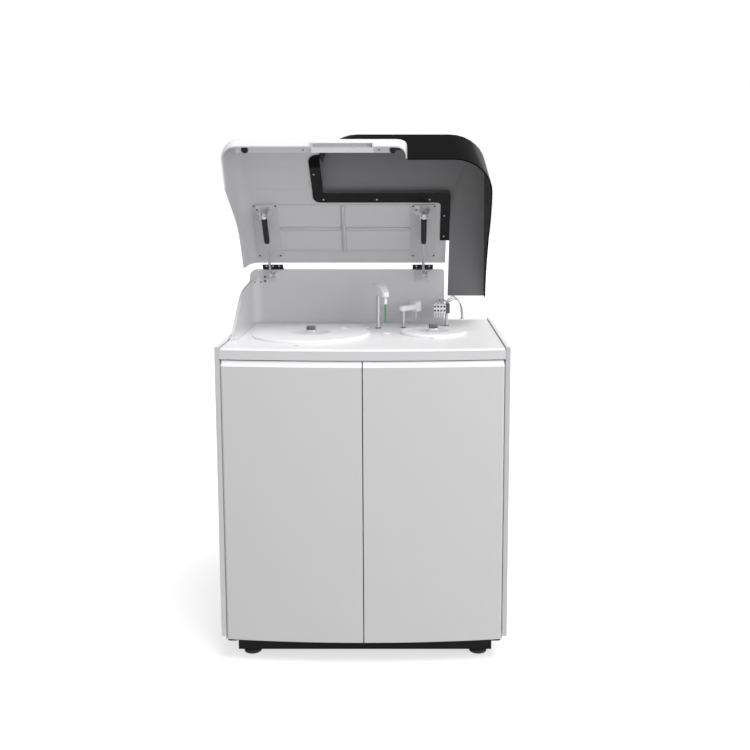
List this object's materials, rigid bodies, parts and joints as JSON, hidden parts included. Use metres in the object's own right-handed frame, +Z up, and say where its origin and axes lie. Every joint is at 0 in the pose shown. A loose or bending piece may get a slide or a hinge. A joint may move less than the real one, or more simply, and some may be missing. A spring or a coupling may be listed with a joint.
{
  "type": "floor-standing chemistry analyser",
  "caption": "Floor-standing chemistry analyser: cabinet with doors on a plinth, worktop with covered rotors, dosing arms and a wash head, and a wide hinged lid held up by gas springs.",
  "frame": {"origin": "centre of the footprint's bounding box, on the floor under the feet", "axes": "+X to the user's right, +Y from the doors to the rear panel, +Z up"},
  "size_m": [0.83, 0.664, 1.5361],
  "materials": {
    "back_upstand": "light grey moulding",
    "bumper_left": "black rubber",
    "bumper_right": "black rubber",
    "door_left": "light grey powder coat, fine satin",
    "door_right": "light grey powder coat, fine satin",
    "floor_tray": "galvanised sheet",
    "foot_front_left": "dull black rubber over a steel stem",
    "foot_front_right": "dull black rubber over a steel stem",
    "foot_rear_left": "dull black rubber over a steel stem",
    "foot_rear_right": "dull black rubber over a steel stem",
    "front_beam": "light grey powder coat, fine satin",
    "gas_spring_rod_left": "chromed rod",
    "gas_spring_rod_right": "chromed rod",
    "gas_spring_tube_left": "black painted tube",
    "gas_spring_tube_right": "black painted tube",
    "hinge_fixed_leaf_left": "black steel",
    "hinge_fixed_leaf_right": "black steel",
    "hinge_moving_leaf_left": "black steel",
    "hinge_moving_leaf_right": "black steel",
    "instrument_shelf": "galvanised sheet",
    "lamp_house": "plain aluminium",
    "lid_handle": "white moulding, satin",
    "lid_hood": "gloss black outside, dark grey inside",
    "lid_shell": "white moulding, satin, greyer inside",
    "lift_frame": "galvanised sheet",
    "lift_plate_left": "bright steel plate",
    "lift_plate_right": "bright steel plate",
    "mains_switch": "black plastic",
    "mixer_arm": "white moulding, satin",
    "mixer_carriage": "plain aluminium",
    "mixer_paddle": "bright steel",
    "plinth": "black powder coat",
    "port_ring": "white moulding, satin",
    "power_box": "galvanised sheet",
    "power_inlet": "black plastic",
    "probe_arm": "white moulding, satin",
    "probe_carriage": "plain aluminium",
    "probe_needle": "green sleeve on a steel needle",
    "reaction_cover": "white moulding, satin",
    "reaction_cover_knob": "brushed grey metal",
    "reaction_motor": "black motor housing",
    "reaction_rotor": "black plastic",
    "reaction_tub": "plain aluminium",
    "rear_panel": "light grey powder coat, fine satin",
    "sample_cover": "white moulding, satin",
    "sample_cover_knob": "brushed grey metal",
    "sample_motor": "black motor housing",
    "sample_rotor": "light grey moulding",
    "sample_tub": "plain aluminium",
    "side_panel_left": "light grey powder coat, fine satin",
    "side_panel_right": "light grey powder coat, fine satin",
    "spring_bracket_left": "bright steel plate",
    "spring_bracket_right": "bright steel plate",
    "syringe_pump": "plain aluminium",
    "wash_cup": "white moulding, satin",
    "wash_head": "black plastic",
    "wash_hoses": "clear grey tubing",
    "waste_tank": "translucent white plastic",
    "water_tank": "translucent white plastic",
    "worktop": "white moulding, satin"
  },
  "bodies": {
    "cabinet": {"foot_front_left": "foot_front_left", "foot_front_right": "foot_front_right", "foot_rear_left": "foot_rear_left", "foot_rear_right": "foot_rear_right", "hinge_fixed_leaf_left": "hinge_fixed_leaf_left", "hinge_fixed_leaf_right": "hinge_fixed_leaf_right", "side_panel_left": "side_panel_left", "side_panel_right": "side_panel_right", "spring_bracket_left": "spring_bracket_left", "spring_bracket_right": "spring_bracket_right", "plinth": "plinth", "floor_tray": "floor_tray", "rear_panel": "rear_panel", "front_beam": "front_beam", "worktop": "worktop", "instrument_shelf": "instrument_shelf", "back_upstand": "back_upstand", "sample_tub": "sample_tub", "reaction_tub": "reaction_tub", "sample_motor": "sample_motor", "reaction_motor": "reaction_motor", "port_ring": "port_ring", "wash_cup": "wash_cup", "lift_frame": "lift_frame", "wash_hoses": "wash_hoses", "water_tank": "water_tank", "waste_tank": "waste_tank", "power_box": "power_box", "syringe_pump": "syringe_pump", "lamp_house": "lamp_house", "power_inlet": "power_inlet"},
    "lid": {"lid_shell": "lid_shell", "lid_hood": "lid_hood", "lid_handle": "lid_handle", "bumper_left": "bumper_left", "bumper_right": "bumper_right", "hinge_moving_leaf_left": "hinge_moving_leaf_left", "hinge_moving_leaf_right": "hinge_moving_leaf_right", "lift_plate_left": "lift_plate_left", "lift_plate_right": "lift_plate_right"},
    "gas_rod_left": {"gas_spring_rod_left": "gas_spring_rod_left"},
    "gas_rod_right": {"gas_spring_rod_right": "gas_spring_rod_right"},
    "gas_tube_left": {"gas_spring_tube_left": "gas_spring_tube_left"},
    "gas_tube_right": {"gas_spring_tube_right": "gas_spring_tube_right"},
    "door_left": {"door_left": "door_left"},
    "door_right": {"door_right": "door_right"},
    "sample_rotor": {"sample_rotor": "sample_rotor"},
    "reaction_rotor": {"reaction_rotor": "reaction_rotor"},
    "sample_cover": {"sample_cover": "sample_cover", "sample_cover_knob": "sample_cover_knob"},
    "reaction_cover": {"reaction_cover": "reaction_cover", "reaction_cover_knob": "reaction_cover_knob"},
    "probe_carriage": {"probe_carriage": "probe_carriage"},
    "probe_arm": {"probe_arm": "probe_arm", "probe_needle": "probe_needle"},
    "mixer_carriage": {"mixer_carriage": "mixer_carriage"},
    "mixer_arm": {"mixer_arm": "mixer_arm"},
    "mixer_paddle": {"mixer_paddle": "mixer_paddle"},
    "wash_head": {"wash_head": "wash_head"},
    "mains_switch": {"mains_switch": "mains_switch"}
  },
  "joints": [
    {"name": "lid_hinge", "type": "hinge", "parent": "cabinet", "child": "lid", "pos_m": [0, 0.223, 1.1125], "axis": [1, 0, 0], "range_deg": [0, 61.9]},
    {"name": "gas_rod_left_pivot", "type": "hinge", "parent": "cabinet", "child": "gas_rod_left", "pos_m": [-0.325, 0.195, 1.092], "axis": [1, 0, 0], "range_deg": [0, 66.6]},
    {"name": "gas_tube_left_slide", "type": "slide", "parent": "gas_rod_left", "child": "gas_tube_left", "axis": [0, -0.5518, 0.834], "range_m": [-0.0309, 0]},
    {"name": "gas_rod_right_pivot", "type": "hinge", "parent": "cabinet", "child": "gas_rod_right", "pos_m": [0.178, 0.195, 1.092], "axis": [1, 0, 0], "range_deg": [0, 66.6]},
    {"name": "gas_tube_right_slide", "type": "slide", "parent": "gas_rod_right", "child": "gas_tube_right", "axis": [0, -0.5518, 0.834], "range_m": [-0.0309, 0]},
    {"name": "door_left_hinge", "type": "hinge", "parent": "cabinet", "child": "door_left", "pos_m": [-0.3894, -0.29849, 0.4835], "axis": [0, 0, -1], "range_deg": [0, 90]},
    {"name": "door_right_hinge", "type": "hinge", "parent": "cabinet", "child": "door_right", "pos_m": [0.3894, -0.29849, 0.4835], "axis": [0, 0, 1], "range_deg": [0, 90]},
    {"name": "sample_rotor_spin", "type": "hinge", "parent": "cabinet", "child": "sample_rotor", "pos_m": [-0.17, -0.046, 0.88], "axis": [0, 0, 1], "continuous": true},
    {"name": "reaction_rotor_spin", "type": "hinge", "parent": "cabinet", "child": "reaction_rotor", "pos_m": [0.206, -0.013, 0.88], "axis": [0, 0, 1], "continuous": true},
    {"name": "sample_cover_lift", "type": "slide", "parent": "cabinet", "child": "sample_cover", "axis": [0, 0, 1], "range_m": [0, 0.04]},
    {"name": "reaction_cover_lift", "type": "slide", "parent": "cabinet", "child": "reaction_cover", "axis": [0, 0, 1], "range_m": [0, 0.04]},
    {"name": "probe_lift", "type": "slide", "parent": "cabinet", "child": "probe_carriage", "axis": [0, 0, 1], "range_m": [-0.045, 0]},
    {"name": "probe_swing", "type": "hinge", "parent": "probe_carriage", "child": "probe_arm", "pos_m": [0.032, 0.09, 1], "axis": [0, 0, 1], "range_deg": [-72.5, 41.5]},
    {"name": "mixer_lift", "type": "slide", "parent": "cabinet", "child": "mixer_carriage", "axis": [0, 0, 1], "range_m": [-0.028, 0]},
    {"name": "mixer_swing", "type": "hinge", "parent": "mixer_carriage", "child": "mixer_arm", "pos_m": [0.113, 0.099, 0.99], "axis": [0, 0, 1], "range_deg": [-109.3, 0]},
    {"name": "mixer_spin", "type": "hinge", "parent": "mixer_arm", "child": "mixer_paddle", "pos_m": [0.15317, 0.16586, 0.97], "axis": [0, 0, 1], "continuous": true},
    {"name": "wash_lift", "type": "slide", "parent": "cabinet", "child": "wash_head", "axis": [0, 0, 1], "range_m": [-0.03, 0], "deforming": ["wash_hoses"]},
    {"name": "mains_switch_rock", "type": "hinge", "parent": "cabinet", "child": "mains_switch", "pos_m": [0.268, 0.326, 0.15], "axis": [1, 0, 0], "range_deg": [0, 8]}
  ],
  "couplings": [
    {"joint": "gas_rod_left_pivot", "follows": "lid_hinge", "ratio": 1.0744},
    {"joint": "gas_tube_left_slide", "follows": "lid_hinge", "m_per_rad": -0.02848},
    {"joint": "gas_rod_right_pivot", "follows": "lid_hinge", "ratio": 1.0744},
    {"joint": "gas_tube_right_slide", "follows": "lid_hinge", "m_per_rad": -0.02848}
  ]
}
